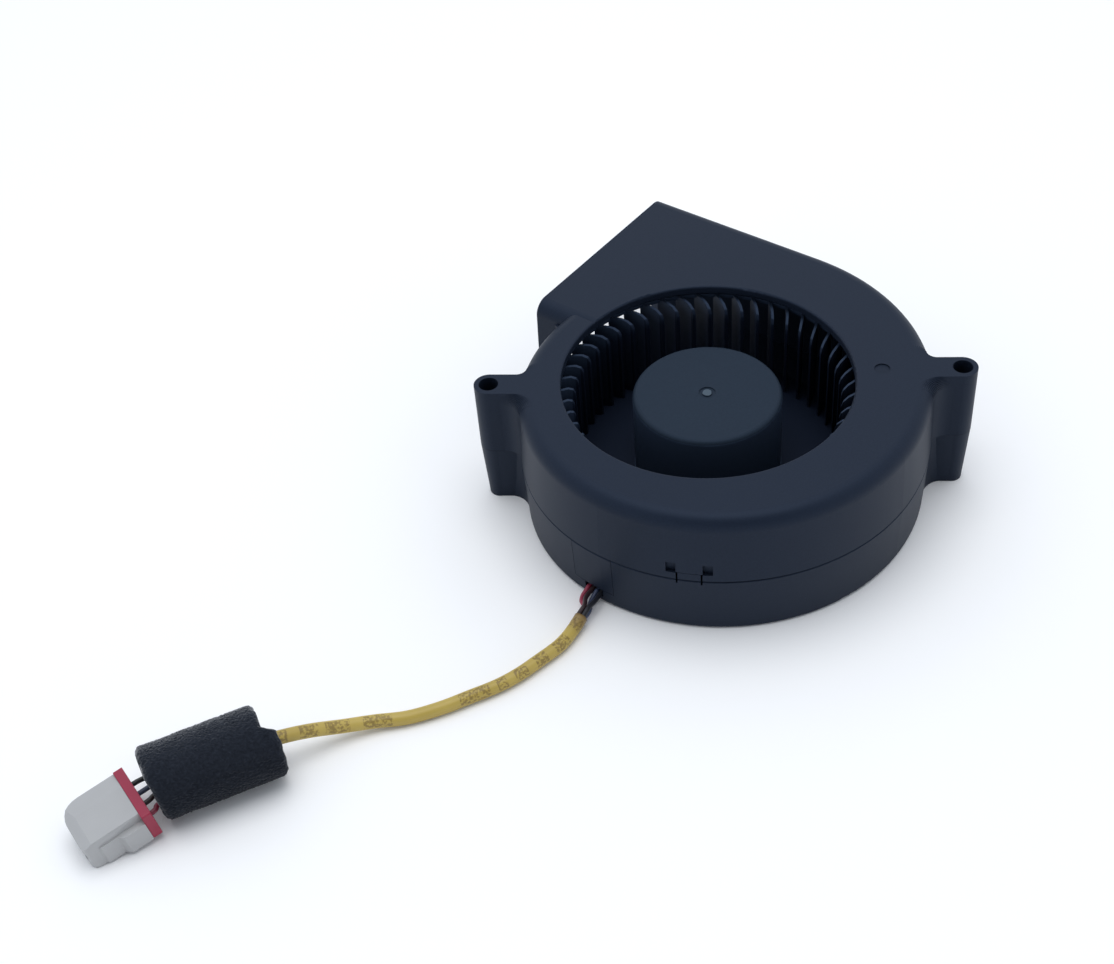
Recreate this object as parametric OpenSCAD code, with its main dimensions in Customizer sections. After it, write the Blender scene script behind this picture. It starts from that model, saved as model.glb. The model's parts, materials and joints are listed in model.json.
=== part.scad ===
// Centrifugal DC blower with a volute housing, an external-rotor motor and a four-wire lead.
// The rotor axis is Z, the air leaves along +Y, and the origin is on the rotor axis at the bottom face.

/* [Housing] */
// Outer radius of the first volute arc, at the parting line
scroll_r = 43.9; // [42:0.1:50]
// Growth of the volute radius in each quarter turn
scroll_step = 4; // [2:0.1:6]
// Overall height of the closed housing
body_h = 33; // [31:0.5:40]
// Height of the parting line between base and cover
parting_z = 15.4; // [12:0.1:20]
// Thickness of the side wall at the parting line
wall = 1.8; // [1.4:0.1:2.4]
// Thickness of the cover plate
plate_t = 1.8; // [1.2:0.1:2.4]
// Thickness of the base floor
floor_t = 1.8; // [1.4:0.1:2.4]
// Inward lean of the wall from the parting line to either edge
draft = 0.6; // [0.2:0.1:0.9]
// Rounding of the cover's outer edge
top_round = 3.5; // [1:0.1:4]
// Rounding of the base's outer edge
bottom_round = 1; // [0.4:0.1:1.6]
// Distance of the discharge face from the rotor axis
outlet_reach = 49.2; // [47:0.1:60]
// Outer width of the discharge duct
outlet_w = 54.3; // [48:0.1:55.5]
// Radius of the blend where the duct leaves the volute
notch_r = 2; // [1:0.1:3]
// Rounding of the tongue inside the duct
tongue_r = 1.2; // [0.5:0.1:1.6]
// Radius of the air inlet
inlet_r = 33.2; // [31.5:0.1:35]
// Rounding of the inlet's upper edge
inlet_round = 0.5; // [0.3:0.1:1]
// Height of the base lip inside the cover
lip_h = 1.5; // [1:0.1:2]
// Thickness of the base lip
lip_t = 0.8; // [0.5:0.1:1]
// Diameter of the ejector mark on the cover
mark_d = 3.6; // [2:0.1:4]
// Distance of the ejector mark from the rotor axis
mark_r = 39.3; // [37.5:0.1:41]
// Direction of the ejector mark seen from the rotor axis
mark_angle = -53.7; // [-70:0.1:-40]

/* [Mounting lugs] */
// Direction of the first lug seen from the rotor axis
lug_angle = 125.8; // [118:0.1:135]
// Distance of the first lug hole from the rotor axis
lug_near_r = 49.7; // [48.5:0.1:54]
// Distance of the second lug hole from the rotor axis
lug_far_r = 57.2; // [56:0.1:62]
// Diameter of the lug holes
lug_hole_d = 4.5; // [3.2:0.1:5]
// Wall of the lug round its hole
lug_wall = 1.15; // [1:0.05:2]
// Radius of the blend between lug and volute
lug_blend = 5; // [3:0.1:7]
// Amount by which the lower lug narrows to its foot
lug_taper = 0.8; // [0.2:0.1:1]

/* [Snap latches and wire exit] */
// Width of a latch tongue
latch_w = 5; // [3:0.1:7]
// Height of a latch tongue above the parting line
latch_h = 2.1; // [1.6:0.1:3]
// Slit beside a latch tongue
latch_slit = 0.4; // [0.2:0.1:0.6]
// Width of the pocket beside each latch
latch_pocket_w = 2.2; // [1:0.1:3]
// Height of the pocket beside each latch
latch_pocket_h = 2.8; // [1:0.1:3]
// Depth of the pocket beside each latch
latch_pocket_d = 0.6; // [0.3:0.1:0.8]
// Width of the cover tab over the wire exit
exit_w = 11; // [8:0.1:14]
// Sideways place of the wire exit
exit_y = 0.5; // [-1:0.1:2]
// Height of the window under the cover tab
exit_h = 2.2; // [1.8:0.1:3]

/* [Impeller] */
// Outer radius of the blade wheel
wheel_r = 36; // [34:0.1:37]
// Number of blades
blade_count = 49; // [30:1:56]
// Radius of the blades' inner edge
blade_in_r = 30.3; // [28:0.1:31]
// Thickness of a blade
blade_t = 0.6; // [0.5:0.05:0.8]
// Forward lean of a blade at its inner edge
blade_lean = 30; // [20:0.5:35]
// Radius of the blade's curve
blade_curve = 30; // [24:0.5:60]
// Phase of the first blade
blade_phase = 2.6; // [0:0.1:7]
// Running gap between blades and cover plate
blade_gap = 1.9; // [0.8:0.1:2.2]
// Radial size of the rounded shoulder on the blades' upper inner corner
shoulder_w = 3; // [2:0.1:3.4]
// Height of the rounded shoulder on the blades' upper inner corner
shoulder_h = 2.4; // [1:0.1:3]
// Height of the ring that ties the blade tips
ring_h = 1; // [0.8:0.1:2]
// Thickness of the tip ring
ring_t = 0.9; // [0.6:0.1:1.4]
// Height of the wheel's underside above the bottom face
wheel_z = 6; // [5.9:0.1:7]
// Thickness of the backplate
backplate_t = 1.4; // [1:0.1:2]
// Outer radius of the hub cup
hub_r = 17.1; // [16.5:0.1:20]
// Wall of the hub cup
hub_wall = 1.4; // [1:0.1:1.8]
// Depth of the hub's top below the cover's top face
hub_drop = 4.9; // [3:0.1:5.2]
// Rounding of the hub's top edge
hub_round = 1.2; // [0.8:0.1:2]

/* [Motor] */
// Shaft diameter
shaft_d = 3; // [2.5:0.1:3.2]
// Outer diameter of both bearings
bearing_od = 8; // [7.8:0.1:8.6]
// Width of both bearings
bearing_w = 4; // [3.5:0.1:4.2]
// Radial thickness of the bearing rings
race_t = 0.75; // [0.6:0.05:0.8]
// Ball diameter
ball_d = 1.4; // [1.2:0.1:1.5]
// Balls in each bearing
ball_count = 7; // [5:1:8]
// Height of the lower bearing's underside
bearing_low_z = 3.6; // [3.5:0.1:4]
// Height of the upper bearing's underside
bearing_high_z = 13.5; // [12.5:0.1:14]
// Wall of the bearing tube
tube_wall = 0.9; // [0.6:0.1:1.2]
// Height of the shaft bush's underside
bush_z = 21; // [20.5:0.1:22]
// Wall of the shaft bush
bush_wall = 1.9; // [1.4:0.1:2.6]
// Thickness of the steel yoke
yoke_t = 1; // [0.8:0.1:1.2]
// Radial thickness of the magnet ring
magnet_t = 1.8; // [1.4:0.1:2]
// Height of the magnet ring
magnet_h = 10.5; // [9:0.1:12]
// Air gap between stator and magnet
air_gap = 0.4; // [0.3:0.05:0.6]
// Height of the stator stack
stator_h = 7.5; // [6.5:0.1:8]
// Height of the stator stack's underside
stator_z = 9.5; // [9.4:0.1:10]
// Width of a stator tooth's neck
tooth_w = 3.2; // [2.4:0.1:4]
// Radial thickness of a tooth's shoe
shoe_t = 1.5; // [1.2:0.1:1.8]
// Slot between neighbouring tooth shoes
slot_w = 2.4; // [1.8:0.1:3]
// Thickness of the winding insulators
insulator_t = 1; // [0.8:0.1:1.2]
// Build-up of a coil on its tooth
coil_t = 1.2; // [0.8:0.1:1.4]
// Underside of the circuit board
board_z = 4.6; // [4.5:0.1:4.8]
// Thickness of the circuit board
board_t = 1.2; // [1:0.1:1.3]
// Wire diameter of the preload spring
spring_wire = 0.4; // [0.3:0.05:0.5]
// Turns of the preload spring
spring_turns = 3.5; // [2.5:0.5:4.5]

/* [Lead and connector] */
// Diameter of an insulated wire
wire_d = 1.1; // [0.9:0.05:1.2]
// Diameter of the cable sleeve
sleeve_d = 3; // [2.8:0.1:3.1]
// Diameter of the foam sleeve
foam_d = 16.2; // [14:0.1:16.4]
// Length of the foam sleeve
foam_len = 27; // [24:0.5:28]
// Width of the connector
conn_w = 14.2; // [13.4:0.1:14.6]
// Thickness of the connector
conn_t = 7.7; // [7:0.1:8]
// Length of the connector housing without its retainer
conn_len = 12.8; // [11:0.1:13]
// Thickness of the connector's retainer
retainer_t = 2.1; // [1.5:0.1:2.6]
// Spacing of the contacts
contact_pitch = 2.9; // [2.4:0.1:3]

/* [Fits] */
// Radial room of pressed and glued fits
fit_gap = 0.02; // [0.01:0.01:0.05]
// Room between ball and race
ball_gap = 0.03; // [0.02:0.01:0.05]
// Room in the seam between cover and base
seam_gap = 0.1; // [0.05:0.05:0.2]
// Bevel on both outer edges of the seam
seam_bevel = 0.25; // [0.1:0.05:0.4]

/* [Hidden] */
$fn = 96;

// Volute: three quarter arcs about the corners of a small square, then the straight wall
half_step = scroll_step / 2;
arc_centre = [[-half_step, -half_step], [half_step, -half_step], [half_step, half_step]];
arc_start = [90, 180, 270];
function arc_r(i) = scroll_r + i * scroll_step;
duct_x = half_step + arc_r(2);
tongue_x = duct_x - outlet_w;
throat_y = scroll_r - half_step;
overrun = 1;
mark_depth = 0.3;

// Lugs
lug_r = lug_hole_d / 2 + lug_wall;
web_set = 0.08;
edge_step = 7.5;
lug_dir = [cos(lug_angle), sin(lug_angle)];
lug_near = lug_near_r * lug_dir;
lug_far = -lug_far_r * lug_dir;

// Impeller and motor
blade_top = body_h - plate_t - blade_gap;
backplate_top = wheel_z + backplate_t;
hub_top = body_h - hub_drop;
hub_inner_r = hub_r - hub_wall;
yoke_r = hub_inner_r - fit_gap;
magnet_r = yoke_r - yoke_t - fit_gap;
stator_r = magnet_r - magnet_t - air_gap;
shaft_r = shaft_d / 2;
bearing_r = bearing_od / 2;
ball_pitch_r = (shaft_r + bearing_r) / 2;
tube_r = bearing_r + fit_gap + tube_wall;
tube_top = bearing_high_z + bearing_w;
yoke_top = hub_top - hub_wall - fit_gap;
yoke_bottom = backplate_top;
magnet_z = stator_z + (stator_h - magnet_h) / 2;
bush_r = shaft_r + bush_wall;
bush_neck_r = shaft_r + bush_wall / 2;
dimple_in = 1.15;
dimple_w = 0.8;
dimple_depth = 0.25;
blade_root = 0.2;
spring_room = 0.1;
spring_r = shaft_r + spring_room + spring_wire / 2;
clip_t = 0.5;
clip_depth = 0.35;
clip_rim = 0.7;
clip_groove_r = shaft_r - clip_depth;
clip_z = bearing_low_z - clip_t - 2 * fit_gap;
shaft_room = 0.3;
shaft_bottom = floor_t + shaft_room;
shaft_top = yoke_top - shaft_room;
boss_wall = 1.5;
boss_r = tube_r + fit_gap + boss_wall;
core_wall = 1.7;
core_r = tube_r + core_wall;
window_r = stator_r - shoe_t;
coil_half_w = tooth_w / 2 + fit_gap + coil_t;
coil_in_room = 0.3;
coil_out_room = 0.1;
coil_in_r = core_r + coil_in_room;
coil_out_r = sqrt(pow(window_r, 2) - pow(coil_half_w, 2)) - coil_out_room;
flange_set = 0.4;
board_rim_room = 0.6;
board_hole_room = 0.3;
boss_room = 0.2;
board_r = hub_inner_r - board_rim_room;
board_hole_r = boss_r + board_hole_room;
board_top = board_z + board_t;
hall_size = [1.6, 4, 1.2];
hall_angle = 45;
driver_size = [4, 5, 1.3];
driver_angle = 80;
capacitor_size = [1.6, 3.2, 1.3];
capacitor_angle = 200;
chip_room = 0.4;
cage_half_t = 0.15;
cage_side = 0.3;
post_r = 1.2;
post_set = 2.2;
post_at = board_r - post_set;
post_angles = [40, 140, 270];
leg_r = 0.6;
leg_angles = [0, 120, 240];

// Lead: the wires lie on the floor, leave through the window and gather in the sleeve
wire_z = floor_t + wire_d / 2;
wire_shades = ["#22242a", "#3d4a68", "#3b2a2c", "#a02c40"];
wire_step = 1.15;
window_room = 0.4;
function wire_y(k) = exit_y + (k - 1.5) * wire_step;
bundle = wire_step / 2;
function bundle_side(k) = k < 2 ? -1 : 1;
function bundle_up(k) = k % 2 == 0 ? 1 : -1;
// Places along X of a wire's bends: down from the circuit board, along the floor and out
solder_x = -11.2;
solder_drop = 0.2;
fall = [[-11.6, 3.3], [-13.2, 2.45], [-16, wire_z]];
floor_end_x = -45;
window_out_x = -46.5;
swing = [-48.5, -0.6];
sleeve_route = [
    [-52.5, -1.6, 2.2], [-57, -2.2, 1.7], [-62, -2.4, 1.6], [-68, -1.3, 1.6], [-74, 0.1, 1.6],
    [-79, 2, 1.6], [-84, 4.7, 1.6], [-90, 8, 1.6], [-96, 12.3, 1.6], [-101, 17, 2.2],
    [-106.5, 20.9, 3.6], [-112.5, 24.3, 6], [-118, 27.2, 7.6]
];
foam_start = [-118.3, 27.4, foam_d / 2];
foam_heading = 151.3;
foam_dir = [cos(foam_heading), sin(foam_heading), 0];
foam_end = foam_start + foam_len * foam_dir;
end_room = 0.3;

// Connector: it rests on the lower edge of its nose, the rear held up a little by the wires
conn_heading = 162;
conn_pitch = 6.7;
conn_front = retainer_t + conn_len;
conn_rest = conn_front * sin(conn_pitch) + conn_t / 2 * cos(conn_pitch);
conn_at = [-144.4, 40.98, conn_rest];
contact_mid = -0.3;
contact_y = [for (k = [0:3]) contact_mid + (k - 1.5) * contact_pitch];
cavity = 1.5;
contact_room = 0.3;
contact_size = cavity - contact_room;
contact_set = 2;
rail_len = 4.7;
rail_out = 1.5;
ledge_len = 9.5;
ledge_out = 0.4;
ledge_drop = 2.2;
face_far = 2.5;
far_drop = 0.7;
far_round = 4.5;
near_round = 1.6;
near_w = conn_w / 2 - rail_out;
front_bevel = 2.2;
front_slope = 28;
wire_room = 0.2;
// Share of the contacts' spacing that the wires already have where they leave the foam
fan_out = 0.92;
// Rise of the wires from the connector back to the foam
leave_rise = 0.3;

// Shared shapes

function unit(v) = v / norm(v);
function heading(p, i) = unit(p[min(i + 1, len(p) - 1)] - p[max(i - 1, 0)]);

// Round tube swept along the points of a route, each ring square to the route
module tube(route, d, sides, ref) {
    rings = len(route);
    points = [
        for (i = [0:rings - 1])
            let (t = heading(route, i), u = unit(cross(t, ref)), v = cross(t, u))
                for (k = [0:sides - 1])
                    let (a = 360 * (k + 0.5) / sides)
                        route[i] + d / 2 * (cos(a) * u + sin(a) * v)
    ];
    skin = [
        for (i = [0:rings - 2])
            for (k = [0:sides - 1])
                let (n = (k + 1) % sides)
                    [i * sides + k, (i + 1) * sides + k, (i + 1) * sides + n, i * sides + n]
    ];
    first = [for (k = [0:sides - 1]) k];
    last = [for (k = [sides - 1:-1:0]) (rings - 1) * sides + k];
    polyhedron(points, concat([first], [last], skin), convexity = 4);
}

module ring(r_out, r_in, h) {
    difference() {
        cylinder(r = r_out, h = h);
        translate([0, 0, -overrun]) cylinder(r = r_in, h = h + 2 * overrun);
    }
}

module rounded_rect(w, h, r) {
    square([w, h - 2 * r], center = true);
    square([w - 2 * r, h], center = true);
    for (x = [-1, 1])
        for (y = [-1, 1])
            translate([x * (w / 2 - r), y * (h / 2 - r)]) circle(r);
}

// Housing shells

// Plan of the volute and duct, set in by a distance from the outer face
module volute_plan(inset, reach) {
    for (i = [0:2])
        translate(arc_centre[i])
            rotate(arc_start[i])
                intersection() {
                    circle(arc_r(i) - inset);
                    square(arc_r(i));
                }
    translate([-half_step, -half_step]) square([scroll_step, scroll_r - inset]);
    translate([tongue_x + inset, 0]) square([outlet_w - 2 * inset, reach]);
}

// Half section of the cover: a leaning wall under a rounded edge
module cover_section(r) {
    rim = r - draft;
    shoulder = body_h - top_round;
    edge = parting_z + seam_bevel;
    polygon([[0, parting_z], [r - seam_bevel, parting_z], [r, edge], [rim, shoulder], [0, shoulder]]);
    translate([0, shoulder]) square([rim - top_round, top_round]);
    translate([rim - top_round, shoulder]) circle(top_round);
}

// Half section of the base: a rounded foot under a leaning wall
module base_section(r) {
    foot = r - draft;
    edge = parting_z - seam_bevel;
    polygon([
        [0, bottom_round], [foot, bottom_round], [r, edge], [r - seam_bevel, parting_z], [0, parting_z]
    ]);
    square([foot - bottom_round, bottom_round]);
    translate([foot - bottom_round, bottom_round]) circle(bottom_round);
}

// Solid volute and duct from a half section, upper or lower
module section(r, upper) {
    if (upper)
        cover_section(r);
    else
        base_section(r);
}

module volute_solid(upper) {
    for (i = [0:2])
        translate(arc_centre[i])
            rotate(arc_start[i])
                rotate_extrude(angle = 90) section(arc_r(i), upper);
    translate([-half_step, -half_step, 0])
        rotate([90, 0, 90])
            linear_extrude(scroll_step) section(scroll_r, upper);
    translate([tongue_x + outlet_w / 2, outlet_reach, 0])
        rotate([90, 0, 0])
            linear_extrude(outlet_reach - half_step)
                for (side = [0, 1])
                    mirror([side, 0]) section(outlet_w / 2, upper);
}

// Blend in the corner between volute and duct
module notch_blend(z, h) {
    translate([tongue_x + draft, throat_y - draft, z])
        linear_extrude(h)
            difference() {
                translate([-notch_r - draft, -draft]) square(notch_r + draft);
                translate([-notch_r - draft, notch_r]) circle(notch_r);
            }
}

// Air space, with a rounded tongue between volute and duct
module air_space(z, h) {
    translate([0, 0, z]) {
        linear_extrude(h) volute_plan(wall, outlet_reach + overrun);
        translate([tongue_x + wall, throat_y - wall, 0])
            linear_extrude(h)
                difference() {
                    translate([-tongue_r, -overrun]) square([tongue_r + overrun, tongue_r + overrun]);
                    translate([-tongue_r, tongue_r]) circle(tongue_r);
                }
    }
}

module upper_shell() {
    difference() {
        union() {
            volute_solid(true);
            notch_blend(parting_z, body_h - top_round - parting_z);
            upper_lug(lug_near, 0);
            upper_lug(lug_far, 2);
        }
        air_space(parting_z - overrun, body_h - plate_t - parting_z + overrun);
    }
}

module lower_shell() {
    difference() {
        union() {
            volute_solid(false);
            notch_blend(bottom_round, parting_z - bottom_round);
        }
        air_space(floor_t, parting_z - floor_t + overrun);
    }
}

// Plan of a lug: a boss round the hole and a web that flares into the arc it stands on
module lug_plan(hole, i, half_w, root_r, face) {
    c = arc_centre[i];
    reach = norm(hole - c);
    flare = half_w + lug_blend;
    flare_x = sqrt(pow(face + lug_blend, 2) - pow(flare, 2));
    touch = [flare_x, flare] * root_r / (face + lug_blend);
    translate(c)
        rotate(atan2(hole[1] - c[1], hole[0] - c[0])) {
            translate([reach, 0]) circle(half_w);
            translate([root_r, -half_w]) square([reach - root_r, 2 * half_w]);
            for (side = [-1, 1])
                difference() {
                    polygon([
                        [root_r, 0], [flare_x, 0], [flare_x, side * flare], [touch[0], side * touch[1]]
                    ]);
                    translate([flare_x, side * flare]) circle(lug_blend, $fn = 48);
                }
        }
}

// The upper lug reaches in past the rounded edge, and its flares step in with that edge;
// the air space then cuts it off
module upper_lug(hole, i) {
    face = arc_r(i) - draft;
    root_r = face - top_round - overrun;
    for (a = [edge_step:edge_step:90])
        translate([0, 0, parting_z])
            linear_extrude(body_h - top_round * (1 - sin(a)) - parting_z)
                lug_plan(hole, i, lug_r, root_r, face - top_round * (1 - cos(a - edge_step / 2)));
}

// The lower lug narrows to its foot: a tapered boss, a web set just inside it and the flares
module lower_lug(hole, i) {
    foot_r = lug_r - lug_taper;
    web_foot = foot_r - web_set;
    web_top = lug_r - web_set;
    c = arc_centre[i];
    reach = norm(hole - c);
    face = arc_r(i) - draft;
    root_r = face - wall / 2;
    linear_extrude(parting_z) lug_plan(hole, i, web_foot - web_set, root_r, face);
    translate(hole) cylinder(r1 = foot_r, r2 = lug_r, h = parting_z);
    translate(c)
        rotate(atan2(hole[1] - c[1], hole[0] - c[0]))
            translate([root_r, 0, 0])
                rotate([90, 0, 90])
                    linear_extrude(reach - root_r)
                        polygon([[-web_foot, 0], [web_foot, 0], [web_top, parting_z], [-web_top, parting_z]]);
}

module lug_holes() {
    for (hole = [lug_near, lug_far])
        translate([hole[0], hole[1], -overrun]) cylinder(d = lug_hole_d, h = body_h + 2 * overrun);
}

// Places its children on the outer face at the parting line: X outward, Y along the wall
module at_latches() {
    for (latch = [[1, 205.4], [2, 335]])
        translate([arc_centre[latch[0]][0], arc_centre[latch[0]][1], parting_z])
            rotate(latch[1])
                translate([arc_r(latch[0]), 0, 0]) children();
    translate([duct_x, outlet_reach / 2, parting_z]) children();
}

module latch_block(w, h) {
    translate([-wall - overrun / 2, -w / 2, 0]) cube([wall + overrun, w, h]);
}

module latch_notch() {
    translate([0, 0, -overrun]) latch_block(latch_w + 2 * latch_slit, latch_h + seam_gap + overrun);
    for (side = [-1, 1])
        translate([-draft - latch_pocket_d, side * (latch_w / 2 + latch_slit + latch_pocket_w / 2), 0])
            translate([0, -latch_pocket_w / 2, latch_h - seam_gap])
                cube([overrun + draft + latch_pocket_d, latch_pocket_w, latch_pocket_h]);
}

module latch_slits() {
    for (side = [-1, 1])
        translate([0, side * (latch_w + latch_slit) / 2, -overrun])
            latch_block(latch_slit, latch_h + overrun);
}

// Part of the wall that the cover's tab takes over above the wire window
module exit_block(gap) {
    translate([-scroll_r - scroll_step, exit_y - exit_w / 2 - gap, floor_t + exit_h - gap])
        cube([scroll_step + half_step + wall + draft, exit_w + 2 * gap, parting_z]);
}

module exit_window() {
    window_w = 4 * wire_step + window_room;
    translate([-scroll_r - scroll_step, exit_y - window_w / 2, floor_t])
        cube([2 * scroll_step, window_w, exit_h]);
}

module lip(room) {
    inset = wall - lip_t - room;
    translate([0, 0, parting_z - overrun])
        linear_extrude(lip_h + room + overrun)
            difference() {
                volute_plan(inset, outlet_reach + room);
                volute_plan(wall, outlet_reach + overrun);
            }
}

module upper_cover() {
    color("#2d3746")
        difference() {
            union() {
                difference() {
                    upper_shell();
                    lip(seam_gap);
                    at_latches() latch_notch();
                    translate([0, 0, body_h - plate_t - overrun])
                        cylinder(r = inlet_r, h = plate_t + 2 * overrun);
                    // Rounded upper edge of the inlet
                    translate([0, 0, body_h - inlet_round])
                        rotate_extrude()
                            difference() {
                                square([inlet_r + inlet_round, inlet_round + overrun]);
                                translate([inlet_r + inlet_round, 0]) circle(inlet_round);
                            }
                    // Ejector mark
                    rotate(mark_angle)
                        translate([mark_r, 0, body_h - mark_depth]) cylinder(d = mark_d, h = overrun);
                }
                intersection() {
                    lower_shell();
                    exit_block(0);
                }
            }
            lug_holes();
        }
}

module lower_base() {
    color("#2a3341")
        difference() {
            union() {
                difference() {
                    union() {
                        lower_shell();
                        lip(0);
                        lower_lug(lug_near, 0);
                        lower_lug(lug_far, 2);
                    }
                    exit_block(seam_gap);
                    at_latches() latch_slits();
                }
                intersection() {
                    upper_shell();
                    at_latches() latch_block(latch_w, latch_h);
                }
                // Boss of the bearing tube, with the lower bearing's seat
                translate([0, 0, floor_t]) {
                    ring(boss_r, tube_r + fit_gap, board_z - floor_t - boss_room);
                    ring(bearing_r - fit_gap, bearing_r - race_t, bearing_low_z - floor_t);
                }
                // Posts of the circuit board
                for (a = post_angles)
                    rotate(a) translate([post_at, 0, floor_t]) cylinder(r = post_r, h = board_z - floor_t);
            }
            exit_window();
            lug_holes();
        }
}

// Rotor

// One blade: it leans forward from its inner edge and curves a little more
module blade() {
    depth = wheel_r - blade_in_r;
    pivot = [blade_in_r - blade_curve * sin(blade_lean), blade_curve * cos(blade_lean)];
    intersection() {
        translate(pivot) circle(blade_curve + blade_t / 2);
        difference() {
            circle(wheel_r - ring_t / 2);
            circle(blade_in_r);
            translate(pivot) circle(blade_curve - blade_t / 2);
        }
        translate([blade_in_r - overrun, -overrun]) square([depth + overrun, depth + 2 * overrun]);
    }
}

// A point of the blades' rounded shoulder, in the half section
function shoulder(a) =
    [blade_in_r + shoulder_w * (1 - cos(a)), blade_top - shoulder_h * (1 - sin(a))];

// Half section of the room above the shoulder, with both end facets run on
module shoulder_room() {
    low = 2 * shoulder(0) - shoulder(30);
    high = 2 * shoulder(90) - shoulder(60);
    polygon([[0, low[1]], low, shoulder(30), shoulder(60), shoulder(90), high, [0, high[1]]]);
}

module impeller() {
    color("#1c2430") {
        difference() {
            union() {
                translate([0, 0, backplate_top - blade_root])
                    linear_extrude(blade_top - backplate_top + blade_root)
                        for (k = [0:blade_count - 1])
                            rotate(360 * k / blade_count + blade_phase) blade();
                translate([0, 0, blade_top - ring_h]) ring(wheel_r, wheel_r - ring_t, ring_h);
            }
            rotate_extrude() shoulder_room();
        }
        translate([0, 0, wheel_z]) ring(wheel_r, hub_r - hub_wall / 2, backplate_t);
        rotate_extrude()
            difference() {
                union() {
                    translate([0, wheel_z]) square([hub_r, hub_top - hub_round - wheel_z]);
                    translate([0, hub_top - hub_round - overrun])
                        square([hub_r - hub_round, hub_round + overrun]);
                    translate([hub_r - hub_round, hub_top - hub_round]) circle(hub_round);
                }
                translate([-overrun, wheel_z - overrun])
                    square([hub_inner_r + overrun, hub_top - hub_wall - wheel_z + overrun]);
                // Gate dimple at the centre of the hub
                translate([dimple_in, hub_top - dimple_depth]) square([dimple_w, overrun]);
            }
    }
}

module rotor_yoke() {
    color("silver")
        rotate_extrude()
            difference() {
                translate([0, yoke_bottom]) square([yoke_r, yoke_top - yoke_bottom]);
                translate([-overrun, yoke_bottom - overrun])
                    square([yoke_r - yoke_t + overrun, yoke_top - yoke_t - yoke_bottom + overrun]);
                square([bush_neck_r + fit_gap, body_h]);
            }
}

module magnet_ring() {
    color("#3a3a3c") translate([0, 0, magnet_z]) ring(magnet_r, magnet_r - magnet_t, magnet_h);
}

module shaft() {
    color("gainsboro")
        difference() {
            translate([0, 0, shaft_bottom]) cylinder(r = shaft_r, h = shaft_top - shaft_bottom);
            translate([0, 0, clip_z - fit_gap]) ring(2 * shaft_r, clip_groove_r, clip_t + 2 * fit_gap);
        }
}

module shaft_bush() {
    plate_under = yoke_top - yoke_t;
    color("goldenrod")
        difference() {
            union() {
                translate([0, 0, bush_z]) cylinder(r = bush_r, h = plate_under - fit_gap - bush_z);
                translate([0, 0, bush_z]) cylinder(r = bush_neck_r, h = yoke_top - bush_z);
            }
            translate([0, 0, bush_z - overrun]) cylinder(r = shaft_r + fit_gap, h = body_h);
        }
}

module preload_spring() {
    steps = 12 * spring_turns;
    low = tube_top + fit_gap + spring_wire / 2;
    rise = bush_z - fit_gap - spring_wire / 2 - low;
    route = [
        for (i = [0:steps])
            [spring_r * cos(30 * i), spring_r * sin(30 * i), low + rise * i / steps]
    ];
    color("lightsteelblue") tube(route, spring_wire, 6, [0, 0, 1]);
}

module retaining_clip() {
    color("dimgray")
        translate([0, 0, clip_z])
            difference() {
                ring(shaft_r + clip_rim, clip_groove_r + fit_gap, clip_t);
                translate([0, -clip_groove_r / 2, -overrun])
                    cube([2 * shaft_d, clip_groove_r, clip_t + 2 * overrun]);
            }
}

// Bearings

module race(r_out, r_in) {
    rotate_extrude()
        difference() {
            translate([r_in, 0]) square([r_out - r_in, bearing_w]);
            translate([ball_pitch_r, bearing_w / 2]) circle(ball_d / 2 + ball_gap);
        }
}

module outer_ring(z) {
    color("silver") translate([0, 0, z]) race(bearing_r, bearing_r - race_t);
}

module inner_ring(z) {
    color("lightgray") translate([0, 0, z]) race(shaft_r + fit_gap + race_t, shaft_r + fit_gap);
}

module at_balls(z) {
    for (k = [0:ball_count - 1])
        rotate(360 * k / ball_count) translate([ball_pitch_r, 0, z + bearing_w / 2]) children();
}

module balls(z) {
    color("whitesmoke") at_balls(z) sphere(d = ball_d);
}

module cage(z) {
    h = ball_d + 2 * cage_side;
    color("khaki")
        difference() {
            translate([0, 0, z + (bearing_w - h) / 2])
                ring(ball_pitch_r + cage_half_t, ball_pitch_r - cage_half_t, h);
            at_balls(z) sphere(d = ball_d + 2 * ball_gap);
        }
}

// A sleeve for both bearings, with a land between them
module bearing_tube() {
    land_low = bearing_low_z + bearing_w + fit_gap;
    color("peru")
        difference() {
            translate([0, 0, floor_t]) cylinder(r = tube_r, h = tube_top - floor_t);
            translate([0, 0, floor_t - overrun])
                cylinder(r = bearing_r + fit_gap, h = land_low - floor_t + overrun);
            cylinder(r = bearing_r - race_t, h = body_h);
            translate([0, 0, bearing_high_z - fit_gap]) cylinder(r = bearing_r + fit_gap, h = body_h);
        }
}

// Stator and electronics

module lamination(r, bore) {
    difference() {
        circle(r);
        difference() {
            circle(window_r);
            circle(core_r);
            for (k = [0:3])
                rotate(90 * k) translate([0, -tooth_w / 2]) square([stator_r, tooth_w]);
        }
        for (k = [0:3])
            rotate(90 * k + 45) translate([core_r + overrun / 2, -slot_w / 2]) square([stator_r, slot_w]);
        circle(bore);
    }
}

module stator_core() {
    color("slategray")
        translate([0, 0, stator_z]) linear_extrude(stator_h) lamination(stator_r, tube_r + fit_gap);
}

// Insulator plate with a flange that keeps the coils off the magnet
module insulator() {
    flange_h = insulator_t + coil_t;
    linear_extrude(insulator_t) lamination(stator_r - flange_set, tube_r + fit_gap);
    linear_extrude(flange_h)
        difference() {
            lamination(stator_r - flange_set, tube_r + fit_gap);
            circle(window_r);
        }
}

module upper_insulator() {
    color("ivory") translate([0, 0, stator_z + stator_h]) insulator();
}

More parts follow.
